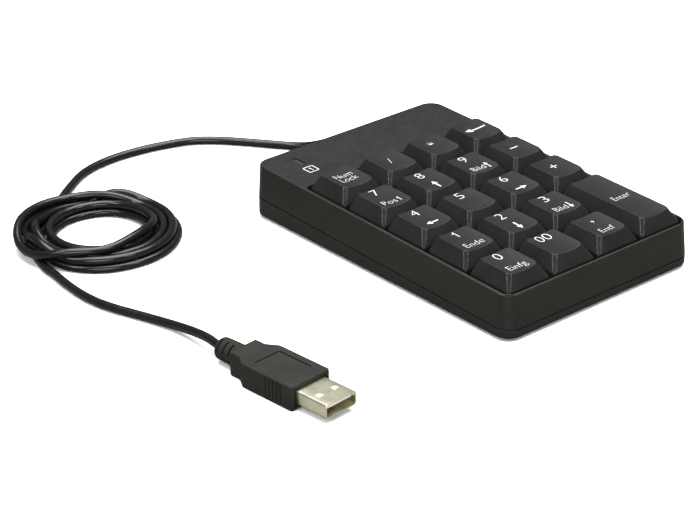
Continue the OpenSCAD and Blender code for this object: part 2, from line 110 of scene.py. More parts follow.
VIEW_FROM = (-0.46224, -0.50188, 0.33397)
VIEW_TURN = (63.2951, 1.1275, -39.9954)
cam = bpy.data.objects.new("camera", bpy.data.cameras.new("camera"))
bpy.context.scene.collection.objects.link(cam)
cam.data.sensor_width = 36
cam.data.lens = 119.41
cam.data.clip_start = 0.01
turned = Euler([math.radians(a) for a in VIEW_TURN]).to_matrix().to_4x4()
cam.matrix_world = Matrix.Translation(VIEW_FROM) @ turned
bpy.context.scene.camera = cam

# ---- Cable: route, coil and how the turns settle ----

COIL_AT = np.array([-89, 80.8])
# Distances from the coil's middle within which the lead and the tail lie loose
LEAD_LOOSE, TAIL_LOOSE = 29.5, 26.5
LEAD = [
    [10, 70, 7.8], [10, 74, 7.8], [9.8, 78, 7], [9, 82, 5.4], [7.8, 86, 3.6], [6, 90, 2.2],
    [3, 95, 1.5], [-1.5, 101, 1.5], [-7, 108.5, 1.5], [-13, 116, 1.5], [-20.5, 122.5, 1.5],
    [-30, 126.2, 1.5], [-39, 128.2, 1.5], [-48.5, 129, 1.5], [-58, 128, 1.5], [-66.5, 125, 1.5],
    [-74, 120, 1.5], [-80, 115.5, 1.5], [-86, 110.5, 1.5]]
TAIL = [
    [-115, 76, 1.5], [-116.2, 67, 1.5], [-117.2, 58, 1.5], [-117.6, 50, 1.5],
    [-117, 42, 1.5], [-115.2, 34.5, 1.5], [-112.6, 27, 1.5], [-110.2, 19.5, 1.6],
    [-108.4, 11.5, 2.1], [-107.8, 4, 3], [-107.9, -3, 3.8], [-108.3, -8, RELIEF_MID],
    [-108.6, -11, RELIEF_MID]]
# How the coil was wound: turns since its start, radius and height
WINDING = [
    (0.03, 26.2, 1.5), (0.15, 25.0, 1.5), (0.28, 23.2, 2.6), (0.4, 25.0, 1.7), (0.65, 25.4, 1.5),
    (1.0, 24.0, 1.5), (1.15, 22.4, 1.8), (1.28, 20.6, 2.4), (1.4, 22.2, 1.8), (1.65, 22.6, 1.5),
    (2.0, 24.4, 4.3), (2.4, 24.2, 4.3), (2.65, 24.3, 4.2), (3.0, 21.8, 4.5), (3.4, 21.0, 4.4),
    (3.65, 21.0, 4.4), (3.9, 21.0, 7.4), (4.03, 23.6, 8.2), (4.15, 25.8, 7.2), (4.26, 27.0, 5.4),
    (4.34, 26.0, 5.4), (4.43, 21.6, 7.0), (4.53, 17.0, 7.4), (4.65, 17.6, 7.2), (4.78, 17.6, 7.4),
    (4.9, 18.2, 7.0), (5.05, 17.0, 5.6), (5.4, 16.6, 4.4), (5.65, 17.6, 4.3), (5.9, 17.6, 3.6),
    (6.1, 16.9, 1.5), (6.5, 17.2, 1.5), (6.8, 19.6, 1.5), (7.0, 20.4, 1.5), (7.15, 21.6, 1.5),
    (7.24, 23.0, 1.5)]


def spline(points, step):
    """Even points along a smooth curve through the given ones."""
    p = np.array(points, float)
    p = np.vstack([2 * p[0] - p[1], p, 2 * p[-1] - p[-2]])
    out = []
    for a, b, c, d in zip(p[:-3], p[1:-2], p[2:-1], p[3:]):
        for t in np.linspace(0, 1, 12, endpoint=False):
            square, cube = 2 * a - 5 * b + 4 * c - d, 3 * b - a - 3 * c + d
            out.append(0.5 * (2 * b + (c - a) * t + square * t ** 2 + cube * t ** 3))
    out.append(p[-2])
    return even(np.array(out), step)


def even(p, step):
    """Points evenly spaced along a line, about step apart."""
    along = np.concatenate([[0], np.cumsum(np.linalg.norm(np.diff(p, axis=0), axis=1))])
    at = np.linspace(0, along[-1], max(2, int(round(along[-1] / step)) + 1))
    return np.stack([np.interp(at, along, p[:, i]) for i in range(3)], 1)


def wound():
    """The coil's turns, 14 points each, with a slow wave that keeps them from lying too evenly."""
    w = np.array(WINDING)
    u = np.arange(w[0, 0], w[-1, 0] + 1e-6, 1 / 14)
    r, z = (np.interp(u, w[:, 0], w[:, i]) for i in (1, 2))
    a = math.radians(85) + 2 * math.pi * u
    r = r + 0.4 * np.sin(2.3 * a + 0.8)
    return np.stack([COIL_AT[0] + r * np.cos(a), COIL_AT[1] + r * np.sin(a), z], 1)


def settle(p, loose, steps):
    """Relaxes the cable: heavy and springy, it rests on the table and on itself without passing through."""
    p, home = p.copy(), p.copy()
    weight, hold, spring, contact = 0.012, 0.04, 0.06, 0.5
    n, gap = len(p), np.linalg.norm(np.diff(p, axis=0), axis=1).mean()
    near = np.abs(np.subtract.outer(np.arange(n), np.arange(n))) * gap < 5 * CABLE_R
    free, thick = loose[:, None], 2 * CABLE_R + 0.12
    for step in range(steps):
        late = step / steps
        if late < 0.8:
            p[:, 2] -= weight * loose
            p[:, :2] += hold * (home - p)[:, :2] * free
        for _ in range(3):
            bend = np.zeros_like(p)
            bend[2:-2] = p[:-4] - 4 * p[1:-3] + 6 * p[2:-2] - 4 * p[3:-1] + p[4:]
            p -= spring * bend * free
        gone = p[:, None, :] - p[None, :, :]
        far = np.sqrt((gone ** 2).sum(2)) + 1e-9
        hit = (far < thick) & ~near
        push = np.where(hit, (thick - far) / far, 0)
        count = np.maximum(hit.sum(1), 1)[:, None]
        p += contact * (push[:, :, None] * gone).sum(1) / count ** 0.5 * free
        p[:, 2] = np.maximum(p[:, 2], CABLE_R + 0.02)
    for _ in range(5):
        p[1:-1] += 0.25 * (p[:-2] - 2 * p[1:-1] + p[2:]) * free[1:-1]
    return p


route = spline(LEAD + wound().tolist() + TAIL, 1.5)
inside = np.hypot(*(route[:, :2] - COIL_AT).T)
first, last = np.argmax(inside < LEAD_LOOSE), len(route) - np.argmax(inside[::-1] < TAIL_LOOSE)
loose = np.clip(np.minimum(np.arange(len(route)) - first, last - np.arange(len(route))) / 8, 0, 1)
route = settle(route, loose, 300)
cable_line = spline(route[::2].tolist() + [route[-1].tolist()], 1.0)
curve = bpy.data.curves.new("cable_line", "CURVE")
curve.dimensions = "3D"
curve.bevel_depth = CABLE_R * MM
curve.bevel_resolution = 6
curve.use_fill_caps = True
line = curve.splines.new("POLY")
line.points.add(len(cable_line) - 1)
line.points.foreach_set("co", np.hstack([cable_line * MM, np.ones((len(cable_line), 1))]).ravel())
line.use_smooth = True
drawn = bpy.data.objects.new("cable_line", curve)
cable = bpy.data.objects.new("cable", bpy.data.meshes.new_from_object(drawn))
bpy.data.objects.remove(drawn)
bpy.context.scene.collection.objects.link(cable)
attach(cable, "case")
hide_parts("cable_lead", "cable_coil", "cable_tail")

# ---- Mesh tools ----


class Shape:
    """Points in millimetres and faces, gathered before they become one mesh."""

    def __init__(self):
        self.points, self.faces = [], []

    def add(self, points, faces):
        k = len(self.points)
        self.points += [tuple(map(float, p)) for p in points]
        self.faces += [[i + k for i in f] for f in faces]
        return self

    def loft(self, rings, closed=False, caps=True):
        """Skin through rings of equal length; closed joins the last to the first."""
        n, m = len(rings[0]), len(rings)
        faces = [
            [i * n + j, i * n + (j + 1) % n, (i + 1) % m * n + (j + 1) % n, (i + 1) % m * n + j]
            for i in range(m if closed else m - 1) for j in range(n)]
        points = [p for r in rings for p in r]
        if caps and not closed:
            faces += [list(range(n)), list(range((m - 1) * n, m * n))]
        return self.add(points, faces)

    def box(self, x0, x1, y0, y1, z0, z1, bevel=0.0):
        if bevel:
            b = bevel
            rings = [lift(outline(x0 + i, x1 - i, y0 + i, y1 - i, b, 2), z) for i, z in (
                (b, z0), (0.3 * b, z0 + 0.3 * b), (0, z0 + b), (0, z1 - b), (0.3 * b, z1 - 0.3 * b), (b, z1))]
            return self.loft(rings)
        return self.loft([[(x0, y0, z), (x1, y0, z), (x1, y1, z), (x0, y1, z)] for z in (z0, z1)])

    def lathe(self, profile, at=(0, 0), n=32):
        """Turned solid: profile is (radius, height) pairs, from the axis to the axis."""
        turns = [2 * math.pi * j / n for j in range(n)]
        rings = [[(at[0] + r * math.cos(a), at[1] + r * math.sin(a), z) for a in turns] for r, z in profile]
        return self.loft(rings)


def circle(n):
    return np.linspace(0, 2 * math.pi, n, endpoint=False)


def around(at, x, y):
    """Limits of a rectangle in plan, from its middle and its half sides."""
    return at[0] - x, at[0] + x, at[1] - y, at[1] + y


def outline(x0, x1, y0, y1, r, n=6, side=0):
    """Rounded rectangle, counter-clockwise, with n steps a corner and side more points on each straight."""
    corners = [(x1 - r, y0 + r, -90), (x1 - r, y1 - r, 0), (x0 + r, y1 - r, 90), (x0 + r, y0 + r, 180)]
    arcs = []
    for x, y, start in corners:
        turns = [math.radians(start + 90 * i / n) for i in range(n + 1)]
        arcs.append([(x + r * math.cos(a), y + r * math.sin(a)) for a in turns])
    out = []
    for k, arc in enumerate(arcs):
        out += arc
        a, b = arc[-1], arcs[(k + 1) % 4][0]
        shares = [t / (side + 1) for t in range(1, side + 1)]
        out += [(a[0] + (b[0] - a[0]) * t, a[1] + (b[1] - a[1]) * t) for t in shares]
    return out


def lift(flat, z):
    return [(x, y, z(x, y) if callable(z) else z) for x, y in flat]


def make(name, shape, matrix=None, smooth=32, tidy=True):
    mesh = bpy.data.meshes.new(name)
    mesh.from_pydata(shape.points, [], shape.faces)
    bm = bmesh.new()
    bm.from_mesh(mesh)
    if tidy:
        bmesh.ops.remove_doubles(bm, verts=bm.verts, dist=1e-4)
        bmesh.ops.recalc_face_normals(bm, faces=bm.faces)
    bm.to_mesh(mesh)
    bm.free()
    mesh.transform(Matrix.Scale(MM, 4) @ (matrix or Matrix.Identity(4)))
    soften(mesh, smooth)
    obj = bpy.data.objects.new(name, mesh)
    bpy.context.scene.collection.objects.link(obj)
    return obj


def soften(mesh, smooth=32):
    mesh.polygons.foreach_set("use_smooth", [True] * len(mesh.polygons))
    mesh.set_sharp_from_angle(angle=math.radians(smooth))


def cut(obj, shape, matrix=None, operation="DIFFERENCE"):
    tool = make("tool", shape, matrix)
    m = obj.modifiers.new("cut", "BOOLEAN")
    m.object, m.operation, m.solver, m.use_self = tool, operation, "EXACT", True
    bpy.context.view_layer.update()
    mesh = bpy.data.meshes.new_from_object(obj.evaluated_get(bpy.context.evaluated_depsgraph_get()))
    obj.modifiers.clear()
    old, obj.data = obj.data, mesh
    bpy.data.meshes.remove(old)
    bpy.data.objects.remove(tool)
    soften(mesh)
    return obj


def fair(obj):
    """Large faces keep their own normals, so fillets shade cleanly."""
    m = obj.modifiers.new("normals", "WEIGHTED_NORMAL")
    m.keep_sharp = True
    return obj


# ---- Materials ----


class Nodes:
    def __init__(self, name):
        self.mat = bpy.data.materials.new(name)
        self.mat.use_nodes = True
        self.tree = self.mat.node_tree
        self.shader = self.tree.nodes["Principled BSDF"]
        self.place = self.new("ShaderNodeTexCoord").outputs["Object"]

    def new(self, kind, **values):
        node = self.tree.nodes.new(kind)
        for k, v in values.items():
            setattr(node, k, v)
        return node

    def link(self, a, b):
        self.tree.links.new(a, b)

    def noise(self, size, detail=2.0, stretch=None):
        """Noise whose blotches are about size millimetres."""
        node = self.new("ShaderNodeTexNoise")
        node.inputs["Scale"].default_value = 1 / (size * MM)
        node.inputs["Detail"].default_value = detail
        place = self.place
        if stretch:
            m = self.new("ShaderNodeMapping")
            m.inputs["Scale"].default_value = stretch
            self.link(place, m.inputs["Vector"])
            place = m.outputs["Vector"]
        self.link(place, node.inputs["Vector"])
        return node.outputs["Fac"]

    def span(self, value, low, high, out_low, out_high):
        node = self.new("ShaderNodeMapRange")
        for i, v in enumerate((low, high, out_low, out_high)):
            node.inputs[i + 1].default_value = v
        self.link(value, node.inputs[0])
        return node.outputs[0]

    def mix(self, factor, a, b):
        node = self.new("ShaderNodeMix", data_type="RGBA")
        self.link(factor, node.inputs["Factor"])
        for socket, value in zip([s for s in node.inputs if s.type == "RGBA"], (a, b)):
            if isinstance(value, tuple):
                socket.default_value = (*value, 1)
            else:
                self.link(value, socket)
        return [s for s in node.outputs if s.type == "RGBA"][0]

    def bump(self, height, strength, depth):
        node = self.new("ShaderNodeBump")
        node.inputs["Strength"].default_value = strength
        node.inputs["Distance"].default_value = depth * MM
        self.link(height, node.inputs["Height"])
        return node.outputs["Normal"]

    def set(self, **sockets):
        for k, v in sockets.items():
            socket = self.shader.inputs[k.replace("_", " ")]
            if isinstance(v, bpy.types.NodeSocket):
                self.link(v, socket)
            else:
                socket.default_value = v
        return self.mat


def shade(c, k):
    return tuple(x * k for x in c)


def plastic(name, colour, rough, grain=0.35, relief=0.02, vary=0.12, dust=0.0, **sockets):
    """Moulded plastic: spark-eroded grain, patches more or less glossy, and a faint drift in colour."""
    n = Nodes(name)
    broad, fine = n.noise(9, 3), n.noise(grain, 3)
    colours = n.mix(n.span(broad, 0.35, 0.65, 0, 1), shade(colour, 1 - vary), shade(colour, 1 + vary))
    if dust:
        specks = n.span(n.noise(0.6, 1), 0.72, 0.78, 0, dust)
        colours = n.mix(specks, colours, shade(colour, 2.2))
    rough_map = n.span(n.noise(2.2, 2), 0.3, 0.7, rough - 0.05, rough + 0.05)
    n.set(Base_Color=colours, Roughness=rough_map, Normal=n.bump(fine, 0.5, relief), **sockets)
    return n.mat


def keycap_plastic(name, colour, top_rough, side_rough):
    """Keycaps: finely etched tops, and smoother sloping sides."""
    n = Nodes(name)
    upright = n.new("ShaderNodeSeparateXYZ")
    n.link(n.new("ShaderNodeNewGeometry").outputs["Normal"], upright.inputs[0])
    drift = n.span(n.noise(2.2, 2), 0.3, 0.7, -0.03, 0.03)
    rough = n.new("ShaderNodeMath", operation="ADD")
    n.link(n.span(upright.outputs["Z"], 0.7, 0.95, side_rough, top_rough), rough.inputs[0])
    n.link(drift, rough.inputs[1])
    broad = n.mix(n.span(n.noise(9, 3), 0.35, 0.65, 0, 1), shade(colour, 0.88), shade(colour, 1.12))
    specks = n.mix(n.span(n.noise(0.6, 1), 0.72, 0.78, 0, 0.3), broad, shade(colour, 2.2))
    n.set(
        Base_Color=specks, Roughness=rough.outputs[0], Normal=n.bump(n.noise(0.3, 3), 0.4, 0.02),
        Specular_IOR_Level=0.16)
    return n.mat


def metal(name, colour, rough, along=(1, 1, 1), size=0.6, depth=1.0):
    """Plated or drawn metal with fine lines along one direction and light tarnish."""
    n = Nodes(name)
    lines = n.noise(size, 2, along)
    tarnish = n.span(n.noise(3.0, 3), 0.4, 0.75, 0, 1)
    n.set(
        Base_Color=n.mix(tarnish, colour, shade(colour, 0.82)),
        Roughness=n.span(lines, 0.3, 0.7, rough - 0.06 * depth, rough + 0.08 * depth),
        Metallic=1.0, Normal=n.bump(lines, 0.2 * depth, 0.01))
    return n.mat


CASE = plastic("case_plastic", (0.0092, 0.0099, 0.0083), 0.44, 0.4, 0.03, dust=0.25, Specular_IOR_Level=0.26)
KEYMAT = keycap_plastic("key_plastic", (0.0125, 0.0142, 0.0120), 0.42, 0.24)
PRINT = plastic("key_print", (0.52, 0.52, 0.505), 0.5, 0.2, 0.006, vary=0.05)
LENS = plastic("lens_plastic", (0.035, 0.036, 0.034), 0.25, 1.5, 0.004, vary=0.05)
CABLEMAT = plastic(
    "cable_vinyl", (0.0055, 0.0055, 0.005), 0.24, 0.8, 0.008, vary=0.15, Specular_IOR_Level=0.36)
PLUGMAT = plastic("plug_vinyl", (0.021, 0.0215, 0.019), 0.6, 0.3, 0.03, dust=0.2, Specular_IOR_Level=0.05)
RUBBER = plastic("foot_rubber", (0.02, 0.02, 0.02), 0.75, 0.25, 0.03)
SILICONE = plastic("silicone", (0.62, 0.62, 0.58), 0.5, 1.0, 0.01, vary=0.06, Subsurface_Weight=0.3)
FILM = plastic("film", (0.6, 0.62, 0.58), 0.3, 3.0, 0.004, vary=0.05)
BOARD = plastic("board", (0.03, 0.16, 0.06), 0.4, 0.8, 0.02, vary=0.2)
CHIP = plastic("chip_epoxy", (0.018, 0.018, 0.018), 0.55, 0.2, 0.01)
LED = plastic("led_resin", (0.25, 0.65, 0.3), 0.2, 1.0, 0.004)
SOCKET = plastic("socket_nylon", (0.72, 0.68, 0.55), 0.45, 0.6, 0.01, vary=0.05)
WIRE = plastic("wire_insulation", (0.45, 0.03, 0.03), 0.4, 0.8, 0.01)
WHITE = plastic("white_nylon", (0.78, 0.77, 0.73), 0.42, 0.8, 0.008, vary=0.04)
NICKEL = metal("nickel_plate", (0.88, 0.85, 0.66), 0.3, (0.3, 1, 1), 0.35, 0.06)
SCREW = metal("screw_steel", (0.5, 0.5, 0.52), 0.3)
WIRE_STEEL = metal("bar_steel", (0.62, 0.62, 0.63), 0.22, (1, 0.1, 1))
GOLD = metal("contact_gold", (0.83, 0.62, 0.26), 0.2)

cable.data.materials.append(CABLEMAT)

for node, mat in {
        "membrane_upper": FILM, "membrane_spacer": FILM, "membrane_lower": FILM, "circuit_board": BOARD,
        "controller_chip": CHIP, "status_led": LED, "cable_socket": SOCKET, "inner_wires": WIRE,
        "case_screws": SCREW, "plug_contacts": GOLD, "enter_stabilizer": WIRE_STEEL}.items():
    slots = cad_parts[node].data.materials
    slots.clear()
    slots.append(mat)


def place(obj, mat, body, slot, *nodes):
    obj.data.materials.append(mat)
    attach(obj, body)
    if nodes:
        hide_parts(*nodes)
    return obj


# ---- Upper shell ----

# How far the walls lean in from the parting line to the rim, and the small radii of the edges
LEAN_SIDE, LEAN_FRONT = 0.38, 1.08
RIM_R, WELL_R, SEAM_R, BASE_R = 0.5, 0.1, 0.12, 0.7
EXIT_R = 3.05


def shell_ring(inset, front, z):
    return lift(outline(-CASE_W / 2 + inset, CASE_W / 2 - inset, front, CASE_L - inset, CORNER_R, 8, 7), z)


def well_ring(grow, z):
    flat = outline(-WELL_X - grow, WELL_X + grow, WELL_FRONT - grow, WELL_BACK + grow, 2 + grow, 8, 7)
    return lift(flat, z)


def wall_ring(inset, z, n=8):
    """Ring a little inside or outside the inner face of the walls, which both shells share."""
    i = WALL + inset
    return lift(outline(-CASE_W / 2 + i, CASE_W / 2 - i, i, CASE_L - i, 3 - inset, n, 7), z)


rings = [
    wall_ring(0, FLOOR_UNDER), wall_ring(0, -UPPER_H),
    shell_ring(SEAM_R, SEAM_R, -UPPER_H), shell_ring(0, 0, -UPPER_H + SEAM_R)]
for t in (0.02, 0.5, 0.97, 1):
    z = -UPPER_H + SEAM_R + (UPPER_H - SEAM_R - RIM_R) * t
    rings.append(shell_ring(LEAN_SIDE * t, LEAN_FRONT * t, z))
for k in range(1, 7):
    a = math.radians(15 * k)
    off = RIM_R * (1 - math.cos(a))
    rings.append(shell_ring(LEAN_SIDE + off, LEAN_FRONT + off, -RIM_R + RIM_R * math.sin(a)))
rings += [shell_ring(LEAN_SIDE + RIM_R + 0.12, LEAN_FRONT + RIM_R + 0.1, 0), well_ring(0.2, 0)]
for a in map(math.radians, (0, 30, 60, 90)):
    rings.append(well_ring(WELL_R * (1 - math.sin(a)), -WELL_R * (1 - math.cos(a))))
rings += [well_ring(0, -0.4), well_ring(0, FLOOR_TOP)]
top = make("top_shell", Shape().loft(rings), DECK)

posts = Shape()
chimney = [(CHIMNEY_R, FLOOR_TOP - 0.5), (CHIMNEY_R, CHIMNEY_TOP - 0.2), (CHIMNEY_R - 0.2, CHIMNEY_TOP)]
for key in KEYS:
    posts.lathe(chimney, key_mid(key), 28)
for s in KEY_SCREWS:
    posts.lathe([(BOSS_R, BOSS_MEET), (BOSS_R, FLOOR_UNDER + 0.5)], s, 24)
cut(top, posts, DECK, "UNION")

# The room under the back deck, the bores for the stems, the light's slot and the cable's way out
room = outline(-CASE_W / 2 + WALL + 0.4, CASE_W / 2 - WALL - 0.4, WELL_BACK + 1.6, CASE_L - WALL - 0.4, 2)
hollow = Shape().loft([lift(room, z) for z in (FLOOR_UNDER - 0.5, -2)])
for key in KEYS:
    bore = STEM_R + 0.06
    hollow.lathe([(bore, FLOOR_UNDER - 1), (bore, CHIMNEY_TOP + 1)], key_mid(key), 28)
hollow.box(*around(LED_AT, SLOT_W / 2, SLOT_L / 2), -2.5, 1, 0.25)
hollow.loft([
    [(EXIT_X + EXIT_R * math.cos(a), y, -UPPER_H + EXIT_R * math.sin(a)) for a in circle(32)]
    for y in (CASE_L - WALL - 1, CASE_L + 1)])
cut(top, hollow, DECK)
slots = Shape()
for key in KEYS:
    x, y = key_mid(key)
    slots.box(*around((x, y), 3.7, 0.75), FLOOR_UNDER - 1, CHIMNEY_TOP + 1)
    for s in (-1, 1):
        if key[3] > 1:
            slot = around((x - s * HOOK_OFF, y + s * HOOK_AT), 1.4, 0.7)
        else:
            slot = around((x + s * HOOK_AT, y), 0.7, 1.4)
        slots.box(*slot, FLOOR_UNDER - 1, FLOOR_TOP + 1)
cut(top, slots, DECK)
place(fair(top), CASE, "case", "case_plastic", "top_cover")

# Clips for the long key's stabilizer, and the bosses under the back deck
fixtures = Shape()
ex, ey = key_mid(next(key for key in KEYS if key[0] == "enter"))
for y in (-10, 10):
    for x in (4.9, 6.66):
        fixtures.box(ex + x, ex + x + 0.44, ey + y - 1, ey + y + 1, FLOOR_TOP - 0.1, -3.3, 0.1)
    fixtures.box(ex + 4.9, ex + 7.1, ey + y - 1, ey + y + 1, FLOOR_TOP - 0.1, -5.2)
for s in BACK_SCREWS:
    fixtures.lathe([(BOSS_R, BOSS_MEET), (BOSS_R, -2.1)], s, 24)
place(make("top_fixtures", fixtures, DECK), CASE, "case", "case_plastic")

lens = Shape().box(*around(LED_AT, SLOT_W / 2 - 0.09, SLOT_L / 2 - 0.09), -2.4, -0.35, 0.12)
lens.box(*around(LED_AT, 1.4, 3.4), -3, -2.02)
lens.lathe([(1.2, -11.9), (1.2, -2.5)], LED_AT, 20)
place(make("lens", lens, DECK), LENS, "case", "lens", "led_lens")

# ---- Lower shell ----

SEAM_Z = -UPPER_H - SEAM
RIB_X, RIB_TOP = 38.3, -13.1
RIB_FACES = [[0, 1, 3, 2], [4, 5, 7, 6], [0, 2, 6, 4], [1, 3, 7, 5], [0, 1, 5, 4], [2, 3, 7, 6]]


def under(level):
    """Height in the deck frame of a level plane above the table."""
    return lambda x, y: (level - FRONT_H - y * math.sin(TILT)) / math.cos(TILT)


def base_ring(inset, z):
    side, r = CASE_W / 2 - inset, CORNER_R - inset * 0.5
    return lift(outline(-side, side, inset, CASE_L - inset, r, 8, 7), z)


rings = [
    wall_ring(0, under(FOOT_H + BASE_T)), wall_ring(0, SEAM_Z),
    base_ring(SEAM_R, SEAM_Z), base_ring(0, SEAM_Z - SEAM_R), base_ring(0, under(FOOT_H + 0.75))]
for a in map(math.radians, (0, 22, 45, 68, 90)):
    rings.append(base_ring(BASE_R * (1 - math.cos(a)), under(FOOT_H + BASE_R * (1 - math.sin(a)))))
rings.append(base_ring(0.9, under(FOOT_H)))
bottom = make("bottom_shell", Shape().loft(rings), DECK)
holes = Shape()
for s in SCREWS:
    holes.lathe([(HEAD_R, -19), (HEAD_R, SEAT_Z), (SHANK_R, SEAT_Z), (SHANK_R, BOSS_MEET + 0.5)], s, 28)
for f in FEET:
    y = (f[1] - DECK_Y) / math.cos(TILT)
    holes.lathe([(FOOT_R + 0.12, -22), (FOOT_R + 0.12, under(FOOT_H + 0.7)(0, y))], (f[0], y), 40)
bosses = Shape()
for s in SCREWS:
    bosses.lathe([(BOSS_R, under(FOOT_H + 0.4)(0, s[1])), (BOSS_R, BOSS_MEET)], s, 24)
cut(bottom, bosses, DECK, "UNION")
cut(bottom, holes, DECK)
place(fair(bottom), CASE, "case", "case_plastic", "bottom_cover")
ribs = Shape()
for r in range(5):
    for dy in (-3.6, 3.6):
        y = SKIRT_FRONT + KEY_W / 2 + PITCH * r + dy
        ends = (under(1.0)(0, y), RIB_TOP)
        ribs.add([(x, y + e, z) for e in (-0.5, 0.5) for x in (-RIB_X, RIB_X) for z in ends], RIB_FACES)
lip = [wall_ring(inset, z, 6) for inset, z in (
    (-0.1, -12.6), (-0.1, SEAM_Z - 0.01), (0.1, SEAM_Z), (0.1, -10.6),
    (0.2, -10.5), (0.8, -10.5), (0.9, -10.6), (0.9, -12.6))]
ribs.loft(lip, closed=True)
place(make("bottom_ribs", ribs, DECK), CASE, "case", "case_plastic")
feet = Shape()
for f in FEET:
    feet.lathe([(FOOT_R - 0.4, 0), (FOOT_R - 0.15, 0.08), (FOOT_R, 0.3), (FOOT_R, 1.5)], f, 40)
place(make("feet", feet), RUBBER, "case", "foot_rubber", "rubber_feet")

# ---- Keys ----


def dish(x):
    return KEY_PROUD - DISH + DISH_R - math.sqrt(DISH_R ** 2 - min(abs(x), 8) ** 2)


RISE = KEY_PROUD - SKIRT_TOP


def key_flat(key, share, inset, r):
    w = (KEY_W + (TOP_W - KEY_W) * share) / 2 - inset
    l = (key_len(key) + (TOP_L - KEY_W) * share) / 2 - inset
    y = TOP_BACK * share
    return outline(-w, w, y - l, y + l, r, 6, 7)


def slope_ring(key, share, inset=0.0, drop=0.0, r=1.7):
    """Ring on the sloping sides, which end on the dished top at share 1."""
    out = []
    for j, (x1, _) in enumerate(key_flat(key, 1, 0, r)):
        s = share * (dish(x1) - SKIRT_TOP) / RISE
        x, y = key_flat(key, s, inset, r)[j]
        out.append((x, y, SKIRT_TOP + s * RISE if share < 0.9 else dish(x) - drop))
    return out


def skirt_ring(key, inset, z, r=1.1):
    return lift(key_flat(key, 0, inset, r), z)


def key_rings(key):
    """Rings from the hollow underside, round the skirt and up the sloping sides, to the middle of the top."""
    edge = 0.2
    rings = [
        lift(key_flat(key, 0.98, 1.1, 0.6), CEILING), skirt_ring(key, KEY_WALL, SKIRT_TOP, 0.4),
        skirt_ring(key, KEY_WALL, SKIRT_BOTTOM, 0.4), skirt_ring(key, 0.2, SKIRT_BOTTOM),
        skirt_ring(key, 0, SKIRT_BOTTOM + 0.2), skirt_ring(key, 0, SKIRT_TOP - 0.35),
        skirt_ring(key, 0.02, SKIRT_TOP, 1.2)]
    rings += [slope_ring(key, s, 0, 0, 1.2 + 0.5 * s) for s in (0.08, 0.3, 0.55, 0.82)]
    for k in range(7):
        t = k / 6
        u = (1 - t) ** 2
        rings.append(slope_ring(key, 1 - u * edge / RISE, t * t * edge, u * edge))
    top_ring = slope_ring(key, 1, edge + 0.15)
    rings.append(top_ring)
    for k in range(7, 0, -1):
        s = k / 8
        rings.append([(x * s, TOP_BACK + (y - TOP_BACK) * s, dish(x * s)) for x, y, _ in top_ring])
    return rings


def home_bar(shape):
    """Short raised bar near the front of the middle key's top, which a finger finds by touch."""
    n, half = 15, 1.75
    rows = []
    for y, h in (
            (-0.42, -0.08), (-0.34, 0.12), (-0.18, 0.24), (0, 0.28), (0.18, 0.24), (0.34, 0.12), (0.42, -0.08)):
        row = []
        for u in np.linspace(-1, 1, n):
            end = abs(u) ** 6
            z = dish(half * u) - 0.04 + (h + 0.04) * (1 - end)
            row.append((-0.1 + half * u, -4.75 + y * (1 - 0.3 * end), z))
        rows.append(row)
    faces = [
        [i * n + j, i * n + j + 1, (i + 1) * n + j + 1, (i + 1) * n + j]
        for i in range(len(rows) - 1) for j in range(n - 1)]
    shape.add([p for row in rows for p in row], faces)


def key_shape(key):
    shape, rings = Shape(), key_rings(key)
    n = len(rings[0])
    shape.loft(rings, caps=False)
    shape.faces.append(list(range(n)))
    m = len(shape.points)
    shape.points.append((0, TOP_BACK, dish(0)))
    shape.faces += [[m - n + j, m - n + (j + 1) % n, m] for j in range(n)]
    shape.lathe([(STEM_R - 0.2, STEM_BOTTOM), (STEM_R, STEM_BOTTOM + 0.2), (STEM_R, CEILING + 0.3)], n=28)
    shape.box(-3.5, 3.5, -0.6, 0.6, -5.5, CEILING + 0.2, 0.1)
    for s in (-1, 1):
        for out, half, height in ((HOOK_AT, 0.5, CEILING + 0.1), (HOOK_AT + 0.6, 0.6, -8.6)):
            if key[3] > 1:
                hook = around((-s * HOOK_OFF, s * out), 1.2, half)
            else:
                hook = around((s * out, 0), half, 1.2)
            shape.box(*hook, -9.2, height, 0.08)
    if key[3] > 1:
        lean = math.asin(TRAVEL / 2 / BAR_ARM)
        x, z = BAR_X - BAR_ARM * math.cos(lean), BAR_Z + BAR_ARM * math.sin(lean)
        for y in (-12.6, 12.6):
            for a, b in ((-1.7, -0.9), (0.7, 1.6)):
                shape.box(x + a, x + b, y - 0.8, y + 0.8, z - 1.1, CEILING + 0.2, 0.08)
            shape.box(x - 1.7, x + 1.6, y - 0.8, y + 0.8, z + 0.68, CEILING + 0.2, 0.08)
    if key[0] == "5":
        home_bar(shape)
    return shape


# ---- Prints ----

GLYPHS = {}


def glyphs(text):
    """Flat mesh of a word in the built-in typeface: points and faces, with capitals 1 high."""
    if text not in GLYPHS:
        data = bpy.data.curves.new("text", "FONT")
        data.body, data.resolution_u, data.offset = text, 5, -0.017
        obj = bpy.data.objects.new("text", data)
        bpy.context.scene.collection.objects.link(obj)
        bpy.context.view_layer.update()
        mesh = bpy.data.meshes.new_from_object(obj.evaluated_get(bpy.context.evaluated_depsgraph_get()))
        GLYPHS[text] = ([tuple(v.co) for v in mesh.vertices], [list(p.vertices) for p in mesh.polygons])
        bpy.data.meshes.remove(mesh)
        bpy.data.objects.remove(obj)
        bpy.data.curves.remove(data)
    return GLYPHS[text]


CAP = max(p[1] for p in glyphs("E")[0]) - min(p[1] for p in glyphs("E")[0])


def word(shape, text, x, y, width, cap):
    """A word centred on x, its baseline at y."""
    points, faces = glyphs(text)
    low, high = min(p[0] for p in points), max(p[0] for p in points)
    k = width / (high - low)
    shape.add([(x + (p[0] - (low + high) / 2) * k, y + p[1] * cap / CAP, 0) for p in points], faces)


